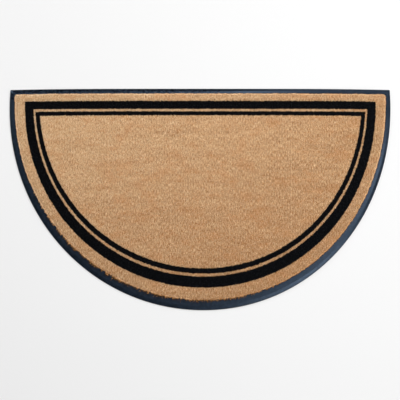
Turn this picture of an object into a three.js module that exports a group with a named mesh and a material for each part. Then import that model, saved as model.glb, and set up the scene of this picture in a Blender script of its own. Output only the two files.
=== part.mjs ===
import * as THREE from 'three';

// A half round doormat lying on the ground: a moulded rubber tray with a raised, bevelled rim,
// and a slab of coir brush pile that sits in it. The bands on the pile are printed, so they
// have no shape of their own. Millimetres, +X along the straight back edge, +Y towards it, +Z up.

// Every closed line round the mat is the same kind of half round. Its curve is a full ellipse
// whose lowest point leans a little to the right, and its back edge is bowed at the ends.
//   halfWidth  half the width at the widest point
//   widest     y of the widest point, just below the back corners
//   front      y of the lowest point of the curve
//   back       y of the middle of the back edge
//   droop      how far the back edge falls towards its corners
//   offset     how far the line lies to the right of the mat's middle
//   lean       how far right of that its lowest point lies
//   corner     how far from each back corner its rounding starts
const LINES = {
  rim: {
    halfWidth: 495, widest: 234.6, front: -287.8, back: 287.8, droop: 3.2, offset: 0, lean: 8.5, corner: 2,
  },
  recess: {
    halfWidth: 479.6, widest: 245, front: -259.5, back: 273.4, droop: 2.6, offset: 0.4, lean: 9, corner: 5,
  },
  brush: {
    halfWidth: 481.6, widest: 245, front: -261.7, back: 275.4, droop: 2.6, offset: 0.4, lean: 9, corner: 4.5,
  },
};

// Heights above the ground
const FLOOR_TOP = 4;
const RIM_CREST = 9;
const RIM_FOLD = 7.7;
const RIM_EDGE_TOP = 5;
const PILE_TOP = 15;

// The rim has a rolled edge, two slopes and a crest. The fold between the slopes lies this
// share of the way from the roll to the crest.
const ROLL_WIDTH = 2.2;
const CREST_WIDTH = 2.4;
const FOLD_SHARE = 0.36;

// The pile stays this far from the rubber all round and under it.
const CLEARANCE = 0.3;

// Shape of a line: 2 would be a true ellipse, and the droop grows towards the corners.
const FULLNESS = 2.03;
const DROOP_POWER = 4;

// The pile's rim is ragged, in waves counted in radians per point of the ring.
const RAGGED = 1.3;
const RAGGED_WAVES = [
  { weight: 0.4, perPoint: 0.61, start: 0.4 },
  { weight: 0.35, perPoint: 1.83, start: 1.1 },
  { weight: 0.25, perPoint: 2.71, start: 0 },
];

// Its brushed top is not quite level, in waves counted in radians per millimetre.
const TOP_WAVE = 0.35;
const TOP_WAVES = [
  { weight: 0.3, perX: 0.021, perY: 0.016, start: 0.8 },
  { weight: 0.3, perX: 0.021, perY: -0.016, start: 0.8 },
  { weight: 0.4, perX: 0.043, perY: -0.032, start: 0 },
];

const CURVE_STEPS = 128;
const BACK_STEPS = 44;
const CORNER_STEPS = 3;

const COLOURS = { rubber: 0x2b3644, coir: 0xc29a6d };

function signedPower(value, power) {
  return Math.sign(value) * Math.abs(value) ** power;
}

// A line moved inwards by the same distance everywhere.
function inset(line, distance) {
  return {
    ...line,
    halfWidth: line.halfWidth - distance,
    front: line.front + distance,
    back: line.back - distance,
  };
}

// A line that lies some share of the way from one line to another.
function between(from, to, share) {
  const mixed = {};
  Object.keys(from).forEach((key) => {
    mixed[key] = THREE.MathUtils.lerp(from[key], to[key], share);
  });
  return mixed;
}

// The points of one line, counter-clockwise from above, starting behind the right corner.
function halfRound(line) {
  const depth = line.widest - line.front;
  const cornerY = line.back - line.droop;
  const cornerAngle = Math.asin(signedPower((cornerY - line.widest) / depth, FULLNESS / 2));

  function onCurve(angle) {
    const across = signedPower(Math.cos(angle), 2 / FULLNESS);
    const up = signedPower(Math.sin(angle), 2 / FULLNESS);
    const x = line.offset + line.halfWidth * across + line.lean * up * up;
    return new THREE.Vector2(x, line.widest + depth * up);
  }

  const rightCorner = onCurve(cornerAngle);
  const leftCorner = onCurve(Math.PI - cornerAngle);

  function onBack(share) {
    const x = THREE.MathUtils.lerp(rightCorner.x, leftCorner.x, share);
    const bow = Math.abs(2 * share - 1) ** DROOP_POWER;
    return new THREE.Vector2(x, line.back - line.droop * bow);
  }

  const trimAngle = line.corner / depth;
  const trimShare = line.corner / (rightCorner.x - leftCorner.x);
  const points = [];

  function roundCorner(before, corner, after) {
    const bend = new THREE.QuadraticBezierCurve(before, corner, after);
    for (let step = 1; step < CORNER_STEPS; step += 1) {
      points.push(bend.getPoint(step / CORNER_STEPS));
    }
  }

  for (let step = 0; step <= BACK_STEPS; step += 1) {
    const share = THREE.MathUtils.lerp(trimShare, 1 - trimShare, step / BACK_STEPS);
    points.push(onBack(share));
  }
  const curveStart = Math.PI - cornerAngle + trimAngle;
  const curveEnd = 2 * Math.PI + cornerAngle - trimAngle;
  roundCorner(onBack(1 - trimShare), leftCorner, onCurve(curveStart));
  for (let step = 0; step <= CURVE_STEPS; step += 1) {
    points.push(onCurve(THREE.MathUtils.lerp(curveStart, curveEnd, step / CURVE_STEPS)));
  }
  roundCorner(onCurve(curveEnd), rightCorner, onBack(trimShare));
  return points;
}

// One level ring of a solid, at a height that may vary from point to point.
function ring(line, heightAt) {
  return halfRound(line).map((point, index) => {
    return new THREE.Vector3(point.x, point.y, heightAt(point, index));
  });
}

function levelRing(line, height) {
  return ring(line, () => height);
}

// A closed solid through a list of rings: it starts at the middle of the underside, goes out
// and up, comes back over the top, and both ends are filled flat.
function throughRings(rings) {
  const count = rings[0].length;
  const positions = rings.flat().flatMap((point) => [point.x, point.y, point.z]);
  const faces = [];
  for (let level = 0; level + 1 < rings.length; level += 1) {
    for (let index = 0; index < count; index += 1) {
      const here = level * count + index;
      const next = level * count + ((index + 1) % count);
      faces.push(here, next, next + count);
      faces.push(here, next + count, here + count);
    }
  }
  const firstCap = THREE.ShapeUtils.triangulateShape(rings[0], []);
  firstCap.forEach(([a, b, c]) => faces.push(a, c, b));
  const last = (rings.length - 1) * count;
  const lastCap = THREE.ShapeUtils.triangulateShape(rings[rings.length - 1], []);
  lastCap.forEach(([a, b, c]) => faces.push(last + a, last + b, last + c));

  const geometry = new THREE.BufferGeometry();
  geometry.setAttribute('position', new THREE.Float32BufferAttribute(positions, 3));
  geometry.setIndex(faces);
  geometry.computeVertexNormals();
  return geometry;
}

function makeMesh(name, geometry, finish) {
  const mesh = new THREE.Mesh(geometry, new THREE.MeshStandardMaterial(finish));
  mesh.name = name;
  return mesh;
}

// The rubber tray: flat underside, rolled outer edge, two slopes up to the crest beside the
// pile, then down to the floor of the recess.
function makeTray() {
  const outside = [
    { inset: 1.6, height: 0 },
    { inset: 0.3, height: 0.9 },
    { inset: 0, height: 2.4 },
    { inset: 0.5, height: RIM_EDGE_TOP - 1 },
    { inset: ROLL_WIDTH, height: RIM_EDGE_TOP },
  ];
  const fold = between(inset(LINES.rim, ROLL_WIDTH), inset(LINES.recess, -CREST_WIDTH), FOLD_SHARE);
  const crest = [
    { outset: CREST_WIDTH, height: RIM_CREST - 0.2 },
    { outset: 0.7, height: RIM_CREST },
    { outset: 0, height: RIM_CREST - 0.7 },
    { outset: 0, height: FLOOR_TOP },
  ];
  const rings = [
    ...outside.map((row) => levelRing(inset(LINES.rim, row.inset), row.height)),
    levelRing(fold, RIM_FOLD),
    ...crest.map((row) => levelRing(inset(LINES.recess, -row.outset), row.height)),
  ];
  return makeMesh('rubber_tray', throughRings(rings), {
    color: COLOURS.rubber, roughness: 0.55, metalness: 0,
  });
}

function sum(values) {
  return values.reduce((total, value) => total + value, 0);
}

// How far the ragged rim of the pile stands out at one of its points, from -1 to 1.
function raggedAt(index) {
  return sum(RAGGED_WAVES.map((wave) => wave.weight * Math.sin(wave.perPoint * index + wave.start)));
}

// How far the brushed top stands above or below its level, from -1 to 1.
function topWaveAt(point) {
  return sum(TOP_WAVES.map((wave) => {
    return wave.weight * Math.sin(wave.perX * point.x + wave.perY * point.y + wave.start);
  }));
}

function raggedRing(line, amount, height) {
  const middle = new THREE.Vector2(0, line.widest);
  return levelRing(line, height).map((point, index) => {
    const outward = new THREE.Vector2(point.x, point.y).sub(middle).normalize();
    const reach = amount * raggedAt(index);
    return new THREE.Vector3(point.x + outward.x * reach, point.y + outward.y * reach, point.z);
  });
}

// The coir pile: it fills the recess, splays over the crest of the rim, and its cut top is
// rounded at the edge. Each row says how much of the raggedness or waviness it takes.
function makePile() {
  const seat = inset(LINES.recess, CLEARANCE);
  const foot = [
    levelRing(seat, FLOOR_TOP + CLEARANCE),
    levelRing(seat, RIM_CREST - 0.5),
    levelRing(inset(LINES.recess, -0.6), RIM_CREST + 0.6),
  ];
  const side = [
    { inset: 0.5, height: RIM_CREST + 1.1, ragged: 0.6 },
    { inset: 0, height: RIM_CREST + 2.6, ragged: 1 },
    { inset: 0.9, height: PILE_TOP - 1.5, ragged: 0.9 },
    { inset: 2.8, height: PILE_TOP - 0.4, ragged: 0.5 },
  ];
  const top = [
    { inset: 7, waves: 0.5 },
    { inset: 28, waves: 1 },
    { inset: 70, waves: 1 },
    { inset: 130, waves: 1 },
    { inset: 190, waves: 0 },
  ];
  const rings = [
    ...foot,
    ...side.map((row) => raggedRing(inset(LINES.brush, row.inset), row.ragged * RAGGED, row.height)),
    ...top.map((row) => {
      const heightAt = (point) => PILE_TOP + TOP_WAVE * row.waves * topWaveAt(point);
      return ring(inset(LINES.brush, row.inset), heightAt);
    }),
  ];
  return makeMesh('coir_pile', throughRings(rings), {
    color: COLOURS.coir, roughness: 0.95, metalness: 0,
  });
}

const doormat = new THREE.Group();
doormat.add(makeTray(), makePile());

export default doormat;
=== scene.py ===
"""Dresses a half round doormat: rubber tray, brushed coir pile and printed border.

Sizes are in millimetres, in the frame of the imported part: +X along the straight back
edge, +Y towards it and +Z up. They become metres where a mesh or an object is written.
"""

import logging
import math
from dataclasses import dataclass, field, fields, replace
from enum import Enum

import bpy
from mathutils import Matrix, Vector, noise

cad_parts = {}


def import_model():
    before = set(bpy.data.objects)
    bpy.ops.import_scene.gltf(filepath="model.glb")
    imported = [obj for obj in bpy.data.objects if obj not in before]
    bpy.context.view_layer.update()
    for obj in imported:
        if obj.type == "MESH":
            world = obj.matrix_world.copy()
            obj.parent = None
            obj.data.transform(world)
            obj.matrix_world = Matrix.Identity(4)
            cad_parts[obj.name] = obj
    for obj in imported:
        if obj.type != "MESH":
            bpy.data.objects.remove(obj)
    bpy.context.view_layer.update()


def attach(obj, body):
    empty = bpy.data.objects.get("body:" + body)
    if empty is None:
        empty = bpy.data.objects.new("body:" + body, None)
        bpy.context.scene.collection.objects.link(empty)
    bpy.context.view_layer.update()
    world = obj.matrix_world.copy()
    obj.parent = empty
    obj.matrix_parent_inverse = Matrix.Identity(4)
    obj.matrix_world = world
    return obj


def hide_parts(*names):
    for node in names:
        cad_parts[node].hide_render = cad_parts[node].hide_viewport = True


LOG = logging.getLogger("doormat")
MM = 0.001
BODY = "root"

# A line's shape: 2 would be a true ellipse, and the droop grows towards the corners.
FULLNESS = 2.03
DROOP_POWER = 4

# Steps along the curve, the back edge and each corner where only a line's area is asked
AREA_STEPS = (240, 20, 4)

# A noise texture's middle value, and how many finer layers it may have
MIDDLE = 0.5
SMOOTH, FINE, FINEST = 1.0, 2.0, 3.0

# The places of a Mix node's sockets for colours
MIX_FACTOR, MIX_FIRST, MIX_SECOND, MIX_RESULT = 0, 6, 7, 2

# The places of a Random Value node's sockets for plain numbers
RANDOM_LOW, RANDOM_HIGH, RANDOM_RESULT = 2, 3, 1

WHITE = (1.0, 1.0, 1.0)
RUST = (0.70, 0.36, 0.14)
ASH = (0.44, 0.31, 0.185)

Socket = bpy.types.NodeSocket
Material = bpy.types.Material
Piece = bpy.types.Object
Point = tuple[float, float, float]
Colour = tuple[float, float, float]

# Where a value's climb from 0 to 1 starts and ends, or a size along x and along y
Span = tuple[float, float]

# A ring of a loft: how far in from its line, or out, and how high or how ragged
Ring = tuple[float, float]


class Slot(Enum):
    """The record's material slots."""

    RUBBER = "rubber"
    COIR = "coir"


class Node(Enum):
    """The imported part's nodes."""

    TRAY = "rubber_tray"
    PILE = "coir_pile"


class Blend(Enum):
    """How one colour is laid over another."""

    MIX = "MIX"
    MULTIPLY = "MULTIPLY"


def opaque(colour: Colour) -> tuple[float, float, float, float]:
    """Gives a colour its full alpha."""
    return (*colour, 1.0)


class Term:
    """A value in a node tree, with which sums and products can be written."""

    def __init__(self, graph: "Graph", socket: Socket) -> None:
        """Wraps an output socket of a graph."""
        self.graph = graph
        self.socket = socket

    def __add__(self, other: "Term | float") -> "Term":
        """Adds a value."""
        return self.graph.math("ADD", self, other)

    __radd__ = __add__

    def __sub__(self, other: "Term | float") -> "Term":
        """Takes a value away."""
        return self.graph.math("SUBTRACT", self, other)

    def __rsub__(self, other: float) -> "Term":
        """Takes this value away from a number."""
        return self.graph.math("SUBTRACT", other, self)

    def __mul__(self, other: "Term | float") -> "Term":
        """Multiplies by a value."""
        return self.graph.math("MULTIPLY", self, other)

    __rmul__ = __mul__

    def __truediv__(self, other: "Term | float") -> "Term":
        """Divides by a value."""
        return self.graph.math("DIVIDE", self, other)

    def __pow__(self, other: float) -> "Term":
        """Raises to a power."""
        return self.graph.math("POWER", self, other)

    def __abs__(self) -> "Term":
        """Drops the sign."""
        return self.graph.math("ABSOLUTE", self)

    def least(self, other: "Term | float") -> "Term":
        """Gives the smaller of two values."""
        return self.graph.math("MINIMUM", self, other)

    def most(self, other: "Term | float") -> "Term":
        """Gives the larger of two values."""
        return self.graph.math("MAXIMUM", self, other)

    def below(self, other: "Term | float") -> "Term":
        """Gives 1 where this value is less than the other, or else 0."""
        return self.graph.math("LESS_THAN", self, other)

    def swing(self, share: float) -> "Term":
        """Turns a value from 0 to 1 into one that swings round 0, the share wide."""
        return (self - MIDDLE) * share

    def rise(self, start: float, end: float) -> "Term":
        """Climbs smoothly from 0 to 1.

        Args:
            start: The value where it is still 0.
            end: The value where it is 1.

        Returns:
            The climbing value.
        """
        settings = {"interpolation_type": "SMOOTHSTEP"}
        values = {"Value": self, "From Min": start, "From Max": end}
        node = self.graph.node("ShaderNodeMapRange", settings, values)
        return Term(self.graph, node.outputs[0])


class Graph:
    """Adds nodes to one shader tree or geometry tree."""

    def __init__(self, tree: bpy.types.NodeTree) -> None:
        """Starts on a tree."""
        self.tree = tree

    def node(
        self,
        kind: str,
        settings: dict[str, object] | None = None,
        values: dict[str | int, object] | None = None,
    ) -> bpy.types.Node:
        """Adds a node of any kind.

        Args:
            kind: The node's type.
            settings: The node's own settings, which are set first.
            values: A number, a link or a Term for each input, by its name or place.

        Returns:
            The node.
        """
        made = self.tree.nodes.new(kind)
        for name, setting in (settings or {}).items():
            setattr(made, name, setting)
        for key, value in (values or {}).items():
            self.feed(made.inputs[key], value)
        return made

    def feed(self, socket: Socket, value: object) -> None:
        """Gives an input its value.

        Args:
            socket: The input.
            value: A Term or a socket to link, or a plain value.
        """
        if isinstance(value, Term):
            value = value.socket
        if isinstance(value, Socket):
            self.tree.links.new(value, socket)
        else:
            socket.default_value = value

    def math(self, operation: str, *values: "Term | float") -> Term:
        """Adds a Math node.

        Args:
            operation: What it does.
            values: Its inputs in order.

        Returns:
            Its result.
        """
        settings = {"operation": operation}
        made = self.node("ShaderNodeMath", settings, dict(enumerate(values)))
        return Term(self, made.outputs[0])

    def vector_math(self, operation: str, *vectors: object) -> Socket:
        """Adds a Vector Math node.

        Args:
            operation: What it does.
            vectors: Its vectors in order.

        Returns:
            The resulting vector's socket.
        """
        settings = {"operation": operation}
        made = self.node("ShaderNodeVectorMath", settings, dict(enumerate(vectors)))
        return made.outputs[0]

    def scaled(self, vector: object, factor: object) -> Socket:
        """Scales a vector.

        Args:
            vector: The vector.
            factor: A number or a Term.

        Returns:
            The scaled vector's socket.
        """
        values = {"Vector": vector, "Scale": factor}
        settings = {"operation": "SCALE"}
        return self.node("ShaderNodeVectorMath", settings, values).outputs[0]

    def split(self, vector: object) -> tuple[Term, Term, Term]:
        """Splits a vector into its three parts."""
        made = self.node("ShaderNodeSeparateXYZ", values={0: vector})
        return tuple(Term(self, out) for out in made.outputs)

    def joined(self, x: object, y: object, z: object) -> Socket:
        """Joins three values into a vector."""
        return self.node("ShaderNodeCombineXYZ", values={0: x, 1: y, 2: z}).outputs[0]

    def attribute(self, name: str) -> Term:
        """Reads a number that a mesh carries, which is 0 where it carries none."""
        made = self.node("ShaderNodeAttribute", {"attribute_name": name})
        return Term(self, made.outputs["Fac"])

    def noise(
        self, vector: object, grain: float = 1.0, detail: float = FINE
    ) -> bpy.types.Node:
        """Adds a noise texture.

        Args:
            vector: Where it is read.
            grain: The size of its grains, in the vector's own measure.
            detail: How many finer layers it has.

        Returns:
            The noise node.
        """
        values = {"Vector": vector, "Scale": 1 / grain, "Detail": detail}
        return self.node("ShaderNodeTexNoise", values=values)

    def grains(self, vector: object, grain: float = 1.0, detail: float = FINE) -> Term:
        """Reads a noise texture, as noise() adds it, as one value round the middle."""
        return Term(self, self.noise(vector, grain, detail).outputs[0])

    def drift(self, texture: bpy.types.Node, reach: object) -> Socket:
        """Turns a noise texture's colour into a vector that points any way.

        Args:
            texture: The noise node.
            reach: How long the vector may be.

        Returns:
            The vector's socket.
        """
        centred = self.vector_math("SUBTRACT", texture.outputs["Color"], (MIDDLE,) * 3)
        return self.scaled(centred, reach)

    def blend(
        self, factor: object, first: object, second: object, how: Blend = Blend.MIX
    ) -> Socket:
        """Lays one colour over another.

        Args:
            factor: 0 leaves the first as it is, and 1 lays all of the second over it.
            first: A colour or its socket.
            second: A colour or its socket.
            how: How they are mixed.

        Returns:
            The mixed colour's socket.
        """
        settings = {"data_type": "RGBA", "blend_type": how.value}
        colours = [opaque(c) if isinstance(c, tuple) else c for c in (first, second)]
        values = {MIX_FACTOR: factor, MIX_FIRST: colours[0], MIX_SECOND: colours[1]}
        return self.node("ShaderNodeMix", settings, values).outputs[MIX_RESULT]


@dataclass(frozen=True)
class HalfRound:
    """A closed line round the mat: a full curve and a back edge bowed at its ends.

    Attributes:
        half_width: Half the width at the widest point.
        widest: The y of the widest point.
        front: The y of the lowest point of the curve.
        back: The y of the middle of the back edge.
        droop: How far the back edge falls towards its corners.
        offset: How far the line lies to the right of the mat's middle.
        lean: How far right of that its lowest point lies.
        corner: How far from each back corner its rounding starts.
    """

    half_width: float
    widest: float
    front: float
    back: float
    droop: float
    offset: float
    lean: float
    corner: float

    @property
    def depth(self) -> float:
        """The height of the curve below its widest point."""
        return self.widest - self.front

    def inset(self, distance: float) -> "HalfRound":
        """Moves the line inwards by the same distance everywhere."""
        return replace(
            self,
            half_width=self.half_width - distance,
            front=self.front + distance,
            back=self.back - distance,
        )

    def toward(self, other: "HalfRound", share: float) -> "HalfRound":
        """Gives a line that lies between this one and another.

        Args:
            other: The other line.
            share: How much of the way to it the line lies.

        Returns:
            The line.
        """
        mixed = {}
        for item in fields(self):
            here, there = getattr(self, item.name), getattr(other, item.name)
            mixed[item.name] = (1 - share) * here + share * there
        return HalfRound(**mixed)

    def on_curve(self, angle: float) -> Vector:
        """Gives one point of the curve.

        Args:
            angle: The point's angle from +X, seen from the curve's middle.

        Returns:
            The point.
        """
        power = 2 / FULLNESS
        across = math.copysign(abs(math.cos(angle)) ** power, math.cos(angle))
        up = math.copysign(abs(math.sin(angle)) ** power, math.sin(angle))
        x = self.offset + self.half_width * across + self.lean * up * up
        return Vector((x, self.widest + self.depth * up))

    def points(
        self, curve_steps: int, back_steps: int, corner_steps: int
    ) -> list[Vector]:
        """Walks the line counter-clockwise, starting behind the right corner.

        Args:
            curve_steps: Steps along the curve.
            back_steps: Steps along the back edge.
            corner_steps: Steps round each corner.

        Returns:
            The line's points.
        """
        rise = (self.back - self.droop - self.widest) / self.depth
        corner_angle = math.asin(math.copysign(abs(rise) ** (FULLNESS / 2), rise))
        right, left = self.on_curve(corner_angle), self.on_curve(math.pi - corner_angle)

        def on_back(share: float) -> Vector:
            """Gives the back edge's point some share of the way to the left corner."""
            bow = self.droop * abs(2 * share - 1) ** DROOP_POWER
            return Vector((right.x + share * (left.x - right.x), self.back - bow))

        def bend(before: Vector, corner: Vector, after: Vector) -> list[Vector]:
            """Rounds a corner."""
            shares = [step / corner_steps for step in range(1, corner_steps)]
            return [
                before * (1 - s) ** 2 + corner * 2 * s * (1 - s) + after * s**2
                for s in shares
            ]

        trim = self.corner / (right.x - left.x)
        start = math.pi - corner_angle + self.corner / self.depth
        end = 2 * math.pi + corner_angle - self.corner / self.depth
        back, curve = range(back_steps + 1), range(curve_steps + 1)
        turn = end - start
        return [
            *(on_back(trim + (1 - 2 * trim) * step / back_steps) for step in back),
            *bend(on_back(1 - trim), left, self.on_curve(start)),
            *(self.on_curve(start + turn * step / curve_steps) for step in curve),
            *bend(self.on_curve(end), right, on_back(trim)),
        ]

    def area(self) -> float:
        """Works out how much the line holds.

        Returns:
            The area inside it in square millimetres.
        """
        line = self.points(*AREA_STEPS)
        pairs = zip(line, line[1:] + line[:1])
        return sum(a.x * b.y - b.x * a.y for a, b in pairs) / 2

    def room(self, x: Term, y: Term) -> Term:
        """Says in a node tree how far inside the line a place lies.

        Args:
            x: The place's x in millimetres.
            y: The place's y in millimetres.

        Returns:
            The distance in millimetres, less than 0 outside.
        """
        down = (self.widest - y) / self.depth
        across = abs((x - self.offset - down * down * self.lean) / self.half_width)
        reach = (across**FULLNESS + abs(down) ** FULLNESS) ** (1 / FULLNESS)
        from_curve = (1 - reach) * self.half_width
        from_back = self.back - across**DROOP_POWER * self.droop - y
        return from_curve.least(from_back)


# Each line's numbers stand in the order in which HalfRound lists them.
RIM_LINE = HalfRound(495, 234.6, -287.8, 287.8, 3.2, 0, 8.5, 2)
RECESS_LINE = HalfRound(479.6, 245, -259.5, 273.4, 2.6, 0.4, 9, 5)
BRUSH_LINE = HalfRound(481.6, 245, -261.7, 275.4, 2.6, 0.4, 9, 2.5)

# The printed border's four lines, from the outside in
WIDE_BAND = (
    HalfRound(455.4, 241.9, -228.8, 256.3, 1.9, 0.7, 8, 0),
    HalfRound(433.2, 247.8, -199.6, 235.1, 1.3, 0.9, 7.2, 0),
)
THIN_BAND = (
    HalfRound(428.7, 248.8, -192.5, 229.3, 1.5, 0.8, 7.6, 0),
    HalfRound(418.0, 252.9, -178.4, 218.6, 1.9, 1, 7.2, 0),
)


def placed(name: str, data: bpy.types.ID) -> Piece:
    """Adds an object to the scene.

    Args:
        name: The object's name.
        data: Its mesh, light or camera.

    Returns:
        The object.
    """
    made = bpy.data.objects.new(name, data)
    bpy.context.scene.collection.objects.link(made)
    return made


def lofted(name: str, rings: list[list[Point]], crease: float) -> Piece:
    """Makes a closed solid through rings of points.

    Args:
        name: The piece's name.
        rings: The rings, from under its middle outwards, up and back over the top.
        crease: The angle in degrees past which an edge stays sharp.

    Returns:
        The piece.
    """
    count = len(rings[0])
    verts = [(x * MM, y * MM, z * MM) for ring in rings for x, y, z in ring]
    faces = []
    for level in range(len(rings) - 1):
        for index in range(count):
            here, beside = level * count + index, level * count + (index + 1) % count
            faces.append((here, beside, beside + count, here + count))
    last = (len(rings) - 1) * count
    faces.append(tuple(reversed(range(count))))
    faces.append(tuple(range(last, last + count)))
    mesh = bpy.data.meshes.new(name)
    mesh.from_pydata(verts, [], faces)
    mesh.shade_smooth()
    mesh.set_sharp_from_angle(angle=math.radians(crease))
    return placed(name, mesh)


def new_material(name: str) -> tuple[Material, Graph, bpy.types.Node]:
    """Starts a material.

    Args:
        name: The material's name.

    Returns:
        The material, its graph and its shader node.
    """
    material = bpy.data.materials.new(name)
    material.use_nodes = True
    graph = Graph(material.node_tree)
    shader = next(n for n in material.node_tree.nodes if n.type == "BSDF_PRINCIPLED")
    return material, graph, shader


def place_in_mm(graph: Graph) -> Socket:
    """Gives a shader tree the place on the piece, in millimetres."""
    place = graph.node("ShaderNodeTexCoord").outputs["Object"]
    return graph.scaled(place, 1 / MM)


@dataclass(frozen=True)
class RubberFinish:
    """Moulded blue-black rubber with a satin skin and faint lines along the rim."""

    # Mottled from deep to pale, and darker navy towards the back and the right, which
    # is painted shade with a painted blue cast of the sheen
    deep: Colour = (0.0016, 0.0028, 0.0045)
    pale: Colour = (0.0056, 0.0088, 0.016)
    pale_over: Span = (0.35, 0.65)
    navy_shade: Colour = (0.001, 0.0025, 0.006)
    navy_shade_over: Span = (150.0, 270.0)
    navy_shade_left: float = 0.2
    navy_shade_gain: float = 0.6
    right_over: Span = (0.0, 380.0)
    # Matte beside the pile, polished at the back left and dull at the back right
    sheen: Colour = (0.50, 0.70, 1.0)
    shine: float = 0.66
    roughness: float = 0.4
    roughness_spread: float = 0.22
    line_spread: float = 0.16
    matte: float = 0.5
    matte_over: Span = (-4.5, -2.0)
    polish: float = 0.12
    polish_over: Span = (250.0, 268.0)
    dull: float = 0.42
    dull_over: Span = (40.0, 240.0)
    # Sizes of the mottling, the lines and the grain, and the heights of their relief
    blotch: float = 8.0
    line_width: float = 1.1
    line_length: float = 45.0
    grain: float = 0.9
    grain_height: float = 0.05
    line_height: float = 0.12
    dimple_height: float = 0.3
    relief_strength: float = 0.6

    def roughness_at(self, x: Term, y: Term, patches: Term, lines: Term) -> Term:
        """Says how rough the skin is.

        Args:
            x: The place's x in millimetres.
            y: The place's y in millimetres.
            patches: Noise that makes it uneven.
            lines: Noise that follows the rim.

        Returns:
            The roughness.
        """
        rightness = x.rise(*self.right_over)
        dulled = y.rise(*self.dull_over) * rightness
        polished = y.rise(*self.polish_over) * (1 - rightness)
        return (
            patches.swing(self.roughness_spread)
            + lines.swing(self.line_spread)
            + RECESS_LINE.room(x, y).rise(*self.matte_over) * self.matte
            + dulled * self.dull
            - polished * self.polish
            + self.roughness
        )

    def material(self) -> Material:
        """Builds the material.

        Returns:
            The material.
        """
        material, graph, shader = new_material("moulded_rubber")
        place = place_in_mm(graph)
        x, y, z = graph.split(place)
        mottle = graph.noise(place, self.blotch, SMOOTH).outputs["Color"]
        blotches, patches, dimples = graph.split(mottle)
        colour = graph.blend(blotches.rise(*self.pale_over), self.deep, self.pale)
        rightness = x.rise(*self.right_over)
        # Painted shade and blue cast: darker navy towards the back, most at the right
        navy_shade = y.rise(*self.navy_shade_over) * (rightness * self.navy_shade_gain + self.navy_shade_left)
        graph.feed(shader.inputs["Base Color"], graph.blend(navy_shade, colour, self.navy_shade))
        across = RIM_LINE.room(x, y) / self.line_width
        along = graph.joined(across, x / self.line_length, z / self.line_length)
        lines = graph.grains(along)
        graph.feed(shader.inputs["Roughness"], self.roughness_at(x, y, patches, lines))
        grain = graph.grains(place, self.grain, FINEST)
        relief = grain * self.grain_height + lines * self.line_height
        relief = relief + dimples * self.dimple_height
        bumped = {"Strength": self.relief_strength, "Distance": MM, "Height": relief}
        bump = graph.node("ShaderNodeBump", values=bumped)
        graph.feed(shader.inputs["Normal"], bump.outputs[0])
        shader.inputs["Specular IOR Level"].default_value = self.shine
        shader.inputs["Specular Tint"].default_value = opaque(self.sheen)
        return material


@dataclass(frozen=True)
class Stain:
    """A colour that shows where a noise is high.

    Attributes:
        colour: The colour.
        over: Where in the noise it climbs from none to all of its share.
        share: How strongly it shows, at most 1.
    """

    colour: Colour
    over: Span
    share: float

    def on(self, graph: Graph, level: Term, ground: object) -> Socket:
        """Lays the colour over another.

        Args:
            graph: The material's graph.
            level: The noise.
            ground: The colour below, or its socket.

        Returns:
            The mixed colour's socket.
        """
        return graph.blend(level.rise(*self.over) * self.share, ground, self.colour)


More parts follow.
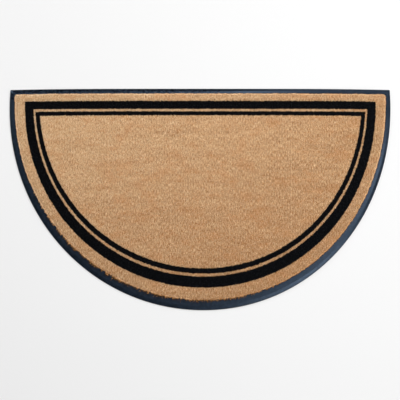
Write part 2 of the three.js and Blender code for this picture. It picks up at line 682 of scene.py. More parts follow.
@dataclass(frozen=True)
class CoirFinish:
    """Natural coir with a black print that is sprayed on from above."""

    # From shade to light, with painted shade that darkens the fibres' roots, and stains
    # of other colours
    shade: Colour = (0.42, 0.25, 0.125)
    body: Colour = (0.89, 0.675, 0.44)
    light: Colour = (0.94, 0.82, 0.615)
    edge: Colour = (0.60, 0.27, 0.085)
    tip_shadow: Colour = (0.045, 0.024, 0.013)
    root: Colour = (0.6, 0.53, 0.45)
    ink: Colour = (0.0026, 0.0034, 0.0052)
    rusty_patches: Stain = Stain(RUST, (0.48, 0.7), 0.24)
    rusty_specks: Stain = Stain(RUST, (0.55, 0.75), 0.6)
    ashen_specks: Stain = Stain(ASH, (0.6, 0.75), 0.6)
    flecks: Stain = Stain((0.16, 0.085, 0.045), (0.7, 0.76), 0.8)
    bare_ink: Stain = Stain((0.018, 0.020, 0.028), (0.5, 0.72), 0.6)
    # Sizes along x and y of what varies the brightness, and by how much each does
    streak: Span = (1.75, 8.5)
    streak_share: float = 1.8
    row: Span = (260.0, 21.0)
    row_share: float = 0.25
    pitch: float = 6.8
    pitch_wander: float = 5.0
    wander_grain: float = 260.0
    pitch_over: Span = (0.38, 0.58)
    pitch_share: float = 0.075
    tone_share: float = 0.5
    patch: Span = (46.0, 24.0)
    patch_share: float = 0.25
    # Painted light: the coir is lighter towards the left and towards the back
    painted_light_across: float = 0.13
    painted_light_along: float = 0.06
    speck: float = 4.5
    # The print's ragged outline
    bleed: float = 3.1
    bleed_grain: float = 3.4
    soft: float = 0.5
    # Painted shade at the pile's edge (orange-brown on its side, near-black shadow
    # among the front tips), and what differs at the front and the rim, where painted
    # shade makes the front darker and redder
    edge_shade_over: Span = (-1.0, 5.5)
    edge_shade_share: float = 0.5
    edge_shade_front: float = 0.4
    tip_shadow_over: Span = (-1.6, 2.9)
    tip_shadow_among: Span = (0.3, 0.5)
    front_over: Span = (-200.0, 120.0)
    front_shade: float = 0.11
    front_contrast: float = 0.35
    strip_over: Span = (12.0, 34.0)
    strip_share: float = 0.07
    root_over: Span = (0.0, 0.4)
    roughness: float = 0.85
    shine: float = 0.06

    def front(self, y: Term) -> Term:
        """Says how far to the front a place lies, from 0 to 1."""
        return 1 - y.rise(*self.front_over)

    def print_mask(self, graph: Graph, place: Socket) -> Term:
        """Says where the print is.

        Args:
            graph: The material's graph.
            place: The place in millimetres.

        Returns:
            1 on the black bands and 0 off them.
        """
        x, y, _ = graph.split(place)
        wobble = graph.grains(place, self.bleed_grain, SMOOTH).swing(2 * self.bleed)
        bands = []
        for outer, inner in (WIDE_BAND, THIN_BAND):
            within = (outer.room(x, y) + wobble).rise(-self.soft, self.soft)
            beyond = (inner.room(x, y) + wobble).rise(-self.soft, self.soft)
            bands.append(within - beyond)
        return bands[0] + bands[1]

    def brightness(
        self, graph: Graph, place: Socket, patches: Term, ribbed: Term
    ) -> Term:
        """Works out how bright the bare coir is.

        Args:
            graph: The material's graph.
            place: The place in millimetres.
            patches: Noise that makes some patches brighter.
            ribbed: Noise that says where the closely set rows show.

        Returns:
            0 in the deepest shade, 0.5 on the body and 1 in the light.
        """
        x, y, _ = graph.split(place)
        streaks, rows = (
            graph.grains(graph.joined(x / across, y / along, 0.0))
            for across, along in (self.streak, self.row)
        )
        wander = graph.grains(place, self.wander_grain, SMOOTH)
        turns = (x + wander * self.pitch_wander) * (2 * math.pi / self.pitch)
        ribs = graph.math("SINE", turns) * ribbed.rise(*self.pitch_over)
        tone = graph.attribute("tone").swing(self.tone_share)
        grain = tone + streaks.swing(self.streak_share)
        bright = grain * (self.front(y) * self.front_contrast + 1) + MIDDLE
        bright = bright + patches.swing(self.patch_share) + rows.swing(self.row_share)
        bright = bright + ribs * self.pitch_share
        # Painted light: lighter towards the left and towards the back
        bright = bright - x * (self.painted_light_across / BRUSH_LINE.half_width)
        return bright + y * (self.painted_light_along / BRUSH_LINE.back)

    def fibre_colour(
        self, graph: Graph, place: Socket, specks: tuple[Term, Term, Term]
    ) -> Socket:
        """Mixes the bare coir's colour.

        Args:
            graph: The material's graph.
            place: The place in millimetres.
            specks: Noises that say where the rusty, ashen and dark specks are.

        Returns:
            The colour's socket.
        """
        x, y, _ = graph.split(place)
        wide = graph.joined(x / self.patch[0], y / self.patch[1], 0.0)
        noises = graph.noise(wide, detail=FINEST).outputs["Color"]
        patches, reddish, ribbed = graph.split(noises)
        bright = self.brightness(graph, place, patches, ribbed)
        ramp = graph.node("ShaderNodeValToRGB", values={0: bright})
        ramp.color_ramp.elements[0].color = opaque(self.shade)
        ramp.color_ramp.elements[1].color = opaque(self.light)
        middle = ramp.color_ramp.elements.new(MIDDLE)
        middle.color = opaque(self.body)
        coir = self.rusty_patches.on(graph, reddish, ramp.outputs[0])
        stains = self.rusty_specks, self.ashen_specks, self.flecks
        for stain, level in zip(stains, specks):
            coir = stain.on(graph, level, coir)
        return coir

    def material(self) -> Material:
        """Builds the material.

        Returns:
            The material.
        """
        material, graph, shader = new_material("brushed_coir")
        place = place_in_mm(graph)
        x, y, _ = graph.split(place)
        specks = graph.split(graph.noise(place, self.speck, SMOOTH).outputs["Color"])
        _, ashen, worn = specks
        coir = self.fibre_colour(graph, place, specks)
        room, front = BRUSH_LINE.room(x, y), self.front(y)
        # Painted shade: darker and redder towards the front
        coir = graph.blend(front * self.front_shade, coir, RUST)
        strip = 1 - room.rise(*self.strip_over)
        coir = graph.blend(strip * self.strip_share, coir, ASH)
        # Painted shade: orange-brown on the side fibres near the pile's edge, stronger
        # at the front
        edge_shade_strength = front * self.edge_shade_front + self.edge_shade_share
        coir = graph.blend((1 - room.rise(*self.edge_shade_over)) * edge_shade_strength, coir, self.edge)
        # Painted shadow: near-black spots among the fringe's tips at the front edge
        tip_shadow_zone = (1 - room.rise(*self.tip_shadow_over)) * front
        coir = graph.blend(tip_shadow_zone * ashen.rise(*self.tip_shadow_among), coir, self.tip_shadow)
        ink = self.bare_ink.on(graph, worn, self.ink)
        printed = graph.blend(self.print_mask(graph, place), coir, ink)
        # Painted shade deep in the brush: each lock darkens towards its root
        rooted = 1 - graph.attribute("tip").rise(*self.root_over)
        dark = graph.blend(rooted, printed, self.root, Blend.MULTIPLY)
        graph.feed(shader.inputs["Base Color"], dark)
        shader.inputs["Roughness"].default_value = self.roughness
        shader.inputs["Specular IOR Level"].default_value = self.shine
        return material


@dataclass(frozen=True)
class FloorFinish:
    """A plain pale studio floor that glows a little, as a light table does."""

    colour: Colour = (0.30, 0.30, 0.30)
    glow: float = 0.47
    roughness: float = 0.9
    shine: float = 0.1

    def material(self) -> Material:
        """Builds the material.

        Returns:
            The material.
        """
        material, _, shader = new_material("pale_floor")
        shader.inputs["Base Color"].default_value = opaque(self.colour)
        shader.inputs["Roughness"].default_value = self.roughness
        shader.inputs["Specular IOR Level"].default_value = self.shine
        shader.inputs["Emission Color"].default_value = opaque(WHITE)
        shader.inputs["Emission Strength"].default_value = self.glow
        return material


@dataclass
class RubberTray:
    """The moulded tray: flat underside, rolled edge, two slopes and a crest.

    Attributes:
        fold_share: Where the slopes meet on the way from the rolled edge to the crest.
        fold_round: How far the fold's rounding reaches on that way.
        rolled: The rolled edge's rings, inwards from the rim line, and their heights.
        folded: The fold's rings, in fold_rounds, and how far each is under the slopes.
        crested: The crest's rings, outwards from the recess, and how far under its top.
    """

    floor_top: float = 4.0
    crest: float = 9.0
    fold_height: float = 7.7
    fold_share: float = 0.36
    fold_round: float = 0.05
    rolled: tuple[Ring, ...] = (
        (2.4, 0.0), (1.5, 0.12), (0.8, 0.5), (0.3, 1.1), (0.0, 2.0),
        (0.0, 2.9), (0.25, 3.6), (0.7, 4.2), (1.35, 4.65), (2.2, 5.0),
    )
    folded: tuple[Ring, ...] = ((-1.0, 0.0), (-0.4, 0.05), (0.4, 0.05), (1.0, 0.0))
    crested: tuple[Ring, ...] = (
        (2.4, 0.2), (1.7, 0.04), (1.1, 0.0), (0.55, 0.08), (0.15, 0.35), (0.0, 0.8),
    )
    curve_steps: int = 520
    back_steps: int = 120
    corner_steps: int = 6
    crease: float = 55.0
    finish: RubberFinish = field(default_factory=RubberFinish)

    def profile(self) -> list[tuple[HalfRound, float]]:
        """Lists the tray's rings, from its underside up and over the rim.

        Returns:
            Each ring's line and height.
        """
        rings = [(RIM_LINE.inset(inwards), height) for inwards, height in self.rolled]
        roll, roll_top = rings[-1]
        crest_out, crest_drop = self.crested[0]
        crest = RECESS_LINE.inset(-crest_out)
        lower = (self.fold_height - roll_top) / self.fold_share
        upper = (self.crest - crest_drop - self.fold_height) / (1 - self.fold_share)
        for share, drop in self.folded:
            at = self.fold_share + share * self.fold_round
            slope = lower if share < 0 else upper
            height = self.fold_height + (at - self.fold_share) * slope - drop
            rings.append((roll.toward(crest, at), height))
        for outwards, drop in self.crested:
            rings.append((RECESS_LINE.inset(-outwards), self.crest - drop))
        rings.append((RECESS_LINE, self.floor_top))
        return rings

    def build(self) -> Piece:
        """Builds the tray in place of its CAD node.

        Returns:
            The tray.
        """
        rings = []
        for line, height in self.profile():
            points = line.points(self.curve_steps, self.back_steps, self.corner_steps)
            rings.append([(point.x, point.y, height) for point in points])
        piece = lofted("tray", rings, self.crease)
        piece.data.materials.append(self.finish.material())
        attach(piece, BODY)
        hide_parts(Node.TRAY.value)
        return piece


@dataclass(frozen=True)
class Lock:
    """One lock of coir: a thin spike with three sides.

    Attributes:
        girth: Its width at the root.
        length: Its length.
        spread: How much longer or shorter it may be, as a share.
    """

    girth: float
    length: float
    spread: float


@dataclass(frozen=True)
class Seeds:
    """Where each kind of random number starts in one tree.

    Attributes:
        place: Where a lock stands.
        lean: Which way it leans.
        length: How long it is.
        lock: How it is turned, and its tone.
    """

    place: int
    lean: int
    length: int
    lock: int


@dataclass(frozen=True)
class Brush:
    """Locks that stand upright all over the pile.

    Attributes:
        lock: One lock.
        spacing: How far apart they stand.
        jitter: How far one may stand off the grid, as a share of the spacing.
        sink: How deep its root sits in the base.
        mess: How far each lock leans its own way.
        comb: How far the locks of one swirl lean together.
        swirl: The size of a swirl.
        splay: How far they lean out where the base falls off.
        seeds: Where their random numbers start.
    """

    lock: Lock
    spacing: float
    jitter: float
    sink: float
    mess: float
    comb: float
    swirl: float
    splay: float
    seeds: Seeds


@dataclass(frozen=True)
class Fringe:
    """Locks that stand out round the pile's edge.

    Attributes:
        lock: One lock.
        density: How many stand on a square millimetre of the base's side.
        calm: How long they are at the back, as a share of the lock's length.
        shortest: How long they are between clumps at the front.
        longest: How long they are in a clump at the front.
        swirl: How far a clump leans to one side.
        mess: How far each lock leans from its clump.
        lift: How far they point up.
        seeds: Where their random numbers start.
    """

    lock: Lock
    density: float
    calm: float
    shortest: float
    longest: float
    swirl: float
    mess: float
    lift: float
    seeds: Seeds


class Scatter:
    """A geometry tree that sets coir locks on a mesh."""

    def __init__(self, name: str, inputs: dict[str, float], material: Material) -> None:
        """Starts the tree.

        Args:
            name: The tree's name.
            inputs: Its named inputs with their values.
            material: What the locks are made of.
        """
        self.tree = bpy.data.node_groups.new(name, "GeometryNodeTree")
        self.graph = Graph(self.tree)
        self.material = material
        sockets = self.tree.interface
        for way in ("INPUT", "OUTPUT"):
            sockets.new_socket("Geometry", in_out=way, socket_type="NodeSocketGeometry")
        self.values = {}
        size = {"in_out": "INPUT", "socket_type": "NodeSocketFloat"}
        for label, value in inputs.items():
            made = sockets.new_socket(label, **size)
            self.values[made.identifier] = value
        self.start = self.graph.node("NodeGroupInput")

    def term(self, label: str) -> Term:
        """Gives one of the named inputs."""
        return Term(self.graph, self.start.outputs[label])

    def place(self) -> Socket:
        """Reads where each point is, in metres."""
        return self.graph.node("GeometryNodeInputPosition").outputs[0]

    def random(self, low: object, high: object, seed: int) -> Term:
        """Gives each point its own number.

        Args:
            low: The least that it may be.
            high: The most that it may be.
            seed: Where the numbers start.

        Returns:
            The number.
        """
        settings = {"data_type": "FLOAT"}
        values = {RANDOM_LOW: low, RANDOM_HIGH: high, "Seed": seed}
        made = self.graph.node("FunctionNodeRandomValue", settings, values)
        return Term(self.graph, made.outputs[RANDOM_RESULT])

    def random_vector(self, reach: object, seed: int) -> Socket:
        """Gives each point its own vector, with parts from -reach to reach."""
        parts = [self.random(-1.0, 1.0, seed + step) for step in range(3)]
        return self.graph.scaled(self.graph.joined(*parts), reach)

    def random_length(self, lock: Lock, seed: int) -> Term:
        """Gives each lock its own length, as a share of the usual one."""
        return self.random(1 - lock.spread, 1 + lock.spread, seed)

    def marked(self, geometry: object, name: str, value: Term) -> Socket:
        """Gives each point of a geometry a number that the coir's material reads.

        Args:
            geometry: The points or the mesh.
            name: The attribute's name.
            value: The number.

        Returns:
            The geometry that carries it.
        """
        return self.graph.node(
            "GeometryNodeStoreNamedAttribute",
            {"data_type": "FLOAT", "domain": "POINT"},
            {"Geometry": geometry, "Name": name, "Value": value},
        ).outputs[0]

    def set_locks(self, points: object, aim: object, length: Term, seed: int) -> None:
        """Sets a lock on each point, and ends the tree.

        Args:
            points: The points' geometry.
            aim: Where each lock points.
            length: Each lock's length in metres.
            seed: Where the locks' own random numbers start.
        """
        graph = self.graph
        spike = graph.node(
            "GeometryNodeMeshCone",
            {"fill_type": "NGON"},
            {
                "Vertices": 3,
                "Side Segments": 1,
                "Fill Segments": 1,
                "Radius Top": 0.0,
                "Radius Bottom": self.term("Girth") / 2,
                "Depth": 1.0,
            },
        )
        height = graph.split(self.place())[2]
        spin = graph.joined(0.0, 0.0, self.random(0.0, 2 * math.pi, seed))
        spun = graph.node("FunctionNodeEulerToRotation", values={0: spin})
        turned = graph.node(
            "FunctionNodeAlignRotationToVector",
            {"axis": "Z"},
            {"Rotation": spun.outputs[0], "Vector": aim},
        )
        locks = graph.node(
            "GeometryNodeInstanceOnPoints",
            values={
                "Points": self.marked(points, "tone", self.random(0.0, 1.0, seed + 1)),
                "Instance": self.marked(spike.outputs["Mesh"], "tip", height),
                "Rotation": turned.outputs[0],
                "Scale": graph.joined(1.0, 1.0, length),
            },
        )
        mesh = graph.node("GeometryNodeRealizeInstances", values={0: locks.outputs[0]})
        dressed = graph.node(
            "GeometryNodeSetMaterial",
            values={"Geometry": mesh.outputs[0], "Material": self.material},
        )
        graph.feed(graph.node("NodeGroupOutput").inputs[0], dressed.outputs[0])

    def grow(self, name: str, ground: Piece) -> Piece:
        """Runs the tree on a mesh and keeps the result as a plain piece.

        Args:
            name: The new piece's name.
            ground: The piece on which the locks stand.

        Returns:
            The new piece.
        """
        carrier = placed(f"{name}_carrier", ground.data)
        modifier = carrier.modifiers.new(name, "NODES")
        modifier.node_group = self.tree
        for identifier, value in self.values.items():
            modifier[identifier] = value
        evaluated = carrier.evaluated_get(bpy.context.evaluated_depsgraph_get())
        mesh = bpy.data.meshes.new_from_object(evaluated)
        carrier.modifiers.clear()
        bpy.data.objects.remove(carrier)
        mesh.name = name
        return placed(name, mesh)


@dataclass
class CoirPile:
    """The coir pile: a solid base, upright locks on it and splayed ones round it.

    Attributes:
        neck: The ring where the base leaves the recess: how far in, and how ragged.
        neck_rise: How far the neck lies over the crest, and the foot's top under it.
        side: The splayed side's rings: how far in, how far over the crest, how ragged.
        flat: The flat top's rings: how far in, and how ragged.
        strays: A few longer locks among the splayed ones.
        strip_shares: Where the brush is split, in shares of half its width.
        strip_margin: How far past half the width the last strip reaches.
        root_margin: How far over the crest an upright lock's root lies at least.
        fringe_margin: How far over the crest a splayed lock's root lies at least.
        fringe_facing: How far up a face may look, from -1 to 1, to count as the side.
        calm_from: The y in front of which the edge starts to grow ragged.
        ragged_over: How far in front of that it is all ragged.
        neat_over: The x over which it grows neater again.
        neat_share: How much neater it is at the right.
        back_raggedness: How ragged it is at the back, as a share.
        ragged_grain: The size of the edge's waves.
        fine_times: How many of its fine waves go into one of them.
        fine_share: How high they are, as a share.
        clump_over: Where in the noise a clump's locks grow longer.
        lowest_rise: How far down a splayed lock may point.
    """

    tray: RubberTray
    clearance: float = 0.3
    base_top: float = 12.4
    top: float = 15.0
    neck: Ring = (0.4, 0.2)
    neck_rise: float = 0.6
    side: tuple[tuple[float, float, float], ...] = (
        (3.2, 1.0, 1.0), (2.8, 1.7, 2.1), (2.8, 2.3, 2.6),
        (3.2, 2.8, 2.6), (4.0, 3.2, 2.1),
    )
    flat: tuple[Ring, ...] = ((5.6, 1.2), (8.0, 0.5), (12.0, 0.0), (40.0, 0.0))
    curve_steps: int = 800
    back_steps: int = 480
    corner_steps: int = 6
    crease: float = 60.0
    upright: Brush = Brush(
        lock=Lock(girth=1.6, length=2.75, spread=0.2),
        spacing=1.5,
        jitter=0.48,
        sink=0.1,
        mess=0.34,
        comb=0.9,
        swirl=9.0,
        splay=0.8,
        seeds=Seeds(place=11, lean=21, length=31, lock=41),
    )
    splayed: Fringe = Fringe(
        lock=Lock(girth=1.4, length=3.3, spread=0.3),
        density=1.9,
        calm=1.0,
        shortest=0.1,
        longest=2.6,
        swirl=1.1,
        mess=0.35,
        lift=0.18,
        seeds=Seeds(place=50, lean=51, length=61, lock=71),
    )
    strays: Fringe = Fringe(
        lock=Lock(girth=1.2, length=8.0, spread=0.4),
        density=0.4,
        calm=0.3,
        shortest=0.3,
        longest=1.3,
        swirl=1.1,
        mess=0.6,
        lift=0.12,
        seeds=Seeds(place=150, lean=151, length=161, lock=171),
    )
    strip_shares: Span = (0.158, 0.492)
    strip_margin: float = 2.0
    root_margin: float = 2.5
    fringe_margin: float = 0.7
    fringe_facing: float = 0.8
    calm_from: float = 120.0
    ragged_over: float = 330.0
    neat_over: Span = (60.0, 240.0)
    neat_share: float = 0.75
    back_raggedness: float = 0.45
    ragged_grain: float = 8.0
    fine_times: float = 3.0
    fine_share: float = 0.8
    clump: float = 5.5
    clump_over: Span = (0.45, 0.6)
    lowest_rise: float = -0.05
    steepest_rise: float = 0.4
    finish: CoirFinish = field(default_factory=CoirFinish)

    def base_profile(self) -> list[tuple[HalfRound, float, float]]:
        """Lists the base's rings, from its underside up and over its edge.

        Returns:
            Each ring's line, height and raggedness.
        """
        seat, crest = RECESS_LINE.inset(self.clearance), self.tray.crest
        neck_in, neck_ragged = self.neck
        rings = [
            (seat, self.tray.floor_top + self.clearance, 0.0),
            (seat, crest - self.neck_rise, 0.0),
            (RECESS_LINE.inset(neck_in), crest + self.neck_rise, neck_ragged),
        ]
        for inwards, up, ragged in self.side:
            rings.append((BRUSH_LINE.inset(inwards), crest + up, ragged))
        for inwards, ragged in self.flat:
            rings.append((BRUSH_LINE.inset(inwards), self.base_top, ragged))
        return rings

    def raggedness(self, point: Vector) -> float:
        """Says how ragged the edge is at a point: most of all at the front.

        Args:
            point: The point.

        Returns:
            The raggedness, at most 1.
        """
        frontness = min(max((self.calm_from - point.y) / self.ragged_over, 0.0), 1.0)
        start, end = self.neat_over
        neatness = min(max((point.x - start) / (end - start), 0.0), 1.0)
        frontness *= 1 - self.neat_share * neatness
        return self.back_raggedness + (1 - self.back_raggedness) * frontness

    def ragged(self, points: list[Vector], height: float, amount: float) -> list[Point]:
        """Moves a ring's points out and in by noise.

        Args:
            points: The ring's points, counter-clockwise.
            height: The ring's height.
            amount: How far a point may stand out where the edge is most ragged.

        Returns:
            The ring's points in space.
        """
        moved = []
        trios = zip(points[-1:] + points[:-1], points, points[1:] + points[:1])
        for before, point, after in trios:
            along = (after - before).normalized()
            spot = Vector((*point, height))
            coarse = noise.noise(spot / self.ragged_grain)
            fine = noise.noise(spot * self.fine_times / self.ragged_grain)
            out = amount * self.raggedness(point) * (coarse + self.fine_share * fine)
            moved.append((point.x + along.y * out, point.y - along.x * out, height))
        return moved

    def build_base(self, material: Material) -> Piece:
        """Builds the solid base.

        Args:
            material: The coir.

        Returns:
            The base.
        """
        rings = []
        for line, height, amount in self.base_profile():
            points = line.points(self.curve_steps, self.back_steps, self.corner_steps)
            rings.append(self.ragged(points, height, amount))
        piece = lofted("pile_base", rings, self.crease)
        piece.data.materials.append(material)
        return piece

    def strips(self) -> dict[str, Span]:
        """Splits the brush into strips, so that each piece stays light.

        Returns:
            Each strip's name, with its left and right x.
        """
        half = BRUSH_LINE.half_width
        near, far = (share * half for share in self.strip_shares)
        return {
            "brush_left_end": (-half, -far),
            "brush_left": (-far, -near),
            "brush_middle": (-near, near),
            "brush_right": (near, far),
            "brush_right_end": (far, half + self.strip_margin),
        }

    def strip_grid(self, scatter: Scatter) -> tuple[Socket, Term, Term]:
        """Lays a level grid of points over a strip.

        Args:
            scatter: The strip's tree.

        Returns:
            The grid, and the x and y over which each of its points is to stand.
        """
        graph, term = scatter.graph, scatter.term
        wide, deep = term("Right") - term("Left"), term("Back") - term("Front")
        grid = graph.node(
            "GeometryNodeMeshGrid",
            values={
                "Size X": wide,
                "Size Y": deep,
                "Vertices X": wide / term("Spacing"),
                "Vertices Y": deep / term("Spacing"),
            },
        )
        middle_x, middle_y = term("Right") + term("Left"), term("Back") + term("Front")
        middle = graph.joined(middle_x / 2, middle_y / 2, 0.0)
        reach = term("Spacing") * self.upright.jitter
        jitter = scatter.random_vector(reach, self.upright.seeds.place)
        spot = graph.vector_math("ADD", scatter.place(), middle)
        x, y, _ = graph.split(graph.vector_math("ADD", spot, jitter))
        return grid.outputs["Mesh"], x, y

    def upright_tree(self, left: float, right: float, material: Material) -> Scatter:
        """Builds the tree that sets upright locks on one strip of the base.

        Args:
            left: The strip's left x.
            right: The strip's right x.
            material: The coir.

        Returns:
            The tree.
        """
        brush = self.upright
        scatter = Scatter(
            "upright_locks",
            {
                "Left": left * MM,
                "Right": right * MM,
                "Front": BRUSH_LINE.front * MM,
                "Back": BRUSH_LINE.back * MM,
                "Spacing": brush.spacing * MM,
                "Girth": brush.lock.girth * MM,
                "Length": brush.lock.length * MM,
                "Mess": brush.mess,
                "Comb": brush.comb,
                "Splay": brush.splay,
            },
            material,
        )
        graph, term, place = scatter.graph, scatter.term, scatter.place()
        grid, x, y = self.strip_grid(scatter)
        above = 2 * self.top * MM
        ray = graph.node(
            "GeometryNodeRaycast",
            values={
                "Target Geometry": scatter.start.outputs["Geometry"],
                "Source Position": graph.joined(x, y, above),
                "Ray Direction": (0.0, 0.0, -1.0),
                "Ray Length": above,
            },
        )
        sunk = (0.0, 0.0, -brush.sink * MM)
        root = graph.vector_math("ADD", ray.outputs["Hit Position"], sunk)
        rooted = graph.node(
            "GeometryNodeSetPosition", values={"Geometry": grid, "Position": root}
        )
        missed = graph.split(place)[2].below((self.tray.crest + self.root_margin) * MM)
        kept = graph.node(
            "GeometryNodeDeleteGeometry",
            {"domain": "POINT"},
            {"Geometry": rooted.outputs[0], "Selection": missed},
        )
        swirls = graph.noise(graph.scaled(place, 1 / MM), brush.swirl, SMOOTH)
        combed = graph.drift(swirls, term("Comb"))
        own = scatter.random_vector(term("Mess"), brush.seeds.lean)
        splay = graph.scaled(ray.outputs["Hit Normal"], term("Splay"))
        bent = graph.vector_math("ADD", graph.vector_math("ADD", combed, own), splay)
        aim_x, aim_y, _ = graph.split(bent)
        aim = graph.joined(aim_x, aim_y, 1.0)
        length = term("Length") * scatter.random_length(brush.lock, brush.seeds.length)
        scatter.set_locks(kept.outputs[0], aim, length, brush.seeds.lock)
        return scatter

    def fringe_stretch(
        self, scatter: Scatter, place: Socket, clumps: bpy.types.Node
    ) -> Term:
        """Says how long the splayed locks are at a place, as a share of their length.

        Args:
            scatter: The fringe's tree.
            place: The place in millimetres.
            clumps: The noise node of the clumps.

        Returns:
            The share.
        """
        graph, term = scatter.graph, scatter.term
        x, y, _ = graph.split(place)
        at_front = 1 - y.rise(self.calm_from - self.ragged_over, self.calm_from)
        at_front = at_front * (1 - x.rise(*self.neat_over) * self.neat_share)
        clumped = Term(graph, clumps.outputs[0]).rise(*self.clump_over)
        uneven = clumped * (term("Longest") - term("Shortest")) + term("Shortest")
        return at_front * (uneven - term("Calm")) + term("Calm")

    def fringe_tree(self, fringe: Fringe, material: Material) -> Scatter:
        """Builds the tree that sets one kind of lock on the base's side.

        Args:
            fringe: The kind of lock.
            material: The coir.

        Returns:
            The tree.
        """
        lock, seeds = fringe.lock, fringe.seeds
        scatter = Scatter(
            "fringe_locks",
            {
                "Density": fringe.density / (MM * MM),
                "Girth": lock.girth * MM,
                "Length": lock.length * MM,
                "Calm": fringe.calm,
                "Shortest": fringe.shortest,
                "Longest": fringe.longest,
                "Swirl": fringe.swirl,
                "Mess": fringe.mess,
                "Lift": fringe.lift,
            },
            material,
        )
        graph, term, place = scatter.graph, scatter.term, scatter.place()
        facing = graph.split(graph.node("GeometryNodeInputNormal").outputs[0])[2]
        sunk = graph.split(place)[2].below((self.tray.crest + self.fringe_margin) * MM)
        spread = graph.node(
            "GeometryNodeDistributePointsOnFaces",
            {"distribute_method": "RANDOM"},
            {
                "Mesh": scatter.start.outputs["Geometry"],
                "Selection": facing.below(self.fringe_facing) * (1 - sunk),
                "Density": term("Density"),
                "Seed": seeds.place,
            },
        )
        place_mm = graph.scaled(place, 1 / MM)
        clumps = graph.noise(place_mm, self.clump, SMOOTH)
        swirl = graph.drift(clumps, term("Swirl"))
        bent = graph.vector_math("ADD", spread.outputs["Normal"], swirl)
        own = scatter.random_vector(term("Mess"), seeds.lean)
        x, y, z = graph.split(graph.vector_math("ADD", bent, own))
        outwards = graph.vector_math("NORMALIZE", graph.joined(x, y, 0.0))
        rise = (z + term("Lift")).most(self.lowest_rise).least(self.steepest_rise)
        aim = graph.vector_math("ADD", outwards, graph.joined(0.0, 0.0, rise))
        stretch = self.fringe_stretch(scatter, place_mm, clumps)
        length = term("Length") * stretch * scatter.random_length(lock, seeds.length)
        scatter.set_locks(spread.outputs["Points"], aim, length, seeds.lock)
        return scatter

    def build(self) -> list[Piece]:
        """Builds the base in place of the pile's CAD node, and its locks.

        Returns:
            The base and the pieces of locks.
        """
        material = self.finish.material()
        base = self.build_base(material)
        brushed = [
            self.upright_tree(left, right, material).grow(name, base)
            for name, (left, right) in self.strips().items()
        ]
        fringes = {"brush_edge": self.splayed, "brush_strays": self.strays}
        for name, fringe in fringes.items():
            brushed.append(self.fringe_tree(fringe, material).grow(name, base))
        for piece in [base, *brushed]:
            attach(piece, BODY)
        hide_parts(Node.PILE.value)
        cut = RECESS_LINE.inset(self.clearance)
        2 * cut.half_width * MM
        (cut.back - cut.front) * MM
        cut.area() * MM * MM
        return [base, *brushed]


@dataclass(frozen=True)
class Softbox:
    """A square light that aims at the mat.

    Attributes:
        name: The light's name.
        place: Where it hangs, in metres.
        size: Its side in metres.
        power: Its power in watts.
    """

    name: str
    place: Point
    size: float
    power: float

    def hang(self) -> None:
        """Adds the light to the scene."""
        lamp = bpy.data.lights.new(self.name, "AREA")
        lamp.size = self.size
        lamp.energy = self.power
        holder = placed(self.name, lamp)
        holder.location = self.place
        aim = (-Vector(self.place)).to_track_quat("-Z", "Y")
        holder.rotation_euler = aim.to_euler()
        holder.visible_camera = False


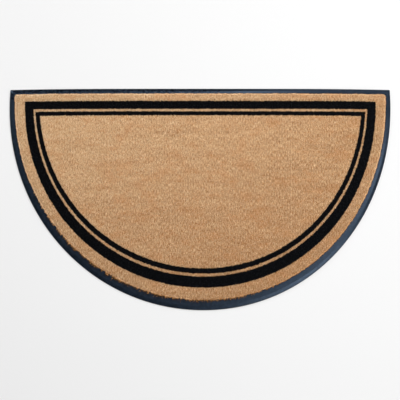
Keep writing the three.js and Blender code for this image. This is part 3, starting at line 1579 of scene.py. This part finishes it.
@dataclass
class Studio:
    """The pale floor, the soft lights and the camera above the mat.

    Attributes:
        floor_side: The floor's side in metres.
        sky: How bright the sky lights the mat.
        backdrop: How bright the camera sees it.
        frame_pixels: The width of the photograph's frame in pixels.
        mm_per_pixel: How much of the mat a pixel covers.
        middle_pixel: The pixel on which the mat's middle lies.
        scale_height: The height over the floor at which that scale is right.
    """

    floor_side: float = 80.0
    sky: float = 0.03
    backdrop: float = 0.9
    lens: float = 240.0
    sensor: float = 36.0
    frame_pixels: float = 400.0
    mm_per_pixel: float = 2.5985
    middle_pixel: Span = (200.05, 199.53)
    scale_height: float = 6.0
    softboxes: tuple[Softbox, ...] = (
        Softbox("left_softbox", (-2.2, 1.6, 1.6), 1.2, 44.0),
        Softbox("front_softbox", (1.3, -1.55, 2.0), 1.2, 28.0),
        Softbox("right_softbox", (1.3, 0.2, 2.2), 1.4, 7.5),
        Softbox("back_softbox", (1.0, 1.0, 2.4), 1.4, 95.0),
    )

    def place_camera(self) -> None:
        """Hangs the camera straight above the mat, to fill the photo's own pixels."""
        half_view = self.frame_pixels / 2 * self.mm_per_pixel
        height = half_view * 2 * self.lens / self.sensor + self.scale_height
        across = self.frame_pixels / 2 - self.middle_pixel[0]
        down = self.frame_pixels / 2 - self.middle_pixel[1]
        lens = bpy.data.cameras.new("camera")
        lens.lens = self.lens
        lens.sensor_width = self.sensor
        camera = placed("camera", lens)
        camera.location = (
            across * self.mm_per_pixel * MM,
            -down * self.mm_per_pixel * MM,
            height * MM,
        )
        bpy.context.scene.camera = camera

    def lay_floor(self) -> None:
        """Lays the floor under the mat."""
        half = self.floor_side / 2
        signs = ((-1, -1), (1, -1), (1, 1), (-1, 1))
        corners = [(across * half, along * half, 0) for across, along in signs]
        mesh = bpy.data.meshes.new("floor")
        mesh.from_pydata(corners, [], [(0, 1, 2, 3)])
        mesh.materials.append(FloorFinish().material())
        floor = placed("floor", mesh)

    def light(self) -> None:
        """Lights the mat from a pale sky and softboxes."""
        world = bpy.data.worlds.new("pale_sky")
        world.use_nodes = True
        graph = Graph(world.node_tree)
        seen = Term(graph, graph.node("ShaderNodeLightPath").outputs["Is Camera Ray"])
        background = world.node_tree.nodes["Background"]
        background.inputs["Color"].default_value = opaque(WHITE)
        strength = seen * (self.backdrop - self.sky) + self.sky
        graph.feed(background.inputs["Strength"], strength)
        bpy.context.scene.world = world
        bpy.context.scene.view_settings.view_transform = "Standard"
        for softbox in self.softboxes:
            softbox.hang()


def report_piece(piece: Piece) -> None:
    """Logs a piece's name, size and triangles.

    Args:
        piece: The piece.
    """
    size = ", ".join(f"{side / MM:.1f}" for side in piece.dimensions)
    piece.data.calc_loop_triangles()
    triangles = len(piece.data.loop_triangles)
    LOG.info("%s: %s mm, %d triangles", piece.name, size, triangles)


def main() -> None:
    """Builds the studio and the mat's pieces in order."""
    logging.basicConfig(level=logging.INFO, format="%(name)s: %(message)s")
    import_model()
    studio = Studio()
    studio.place_camera()
    studio.lay_floor()
    studio.light()
    tray = RubberTray()
    report_piece(tray.build())
    for piece in CoirPile(tray).build():
        report_piece(piece)


if __name__ == "__main__":
    main()
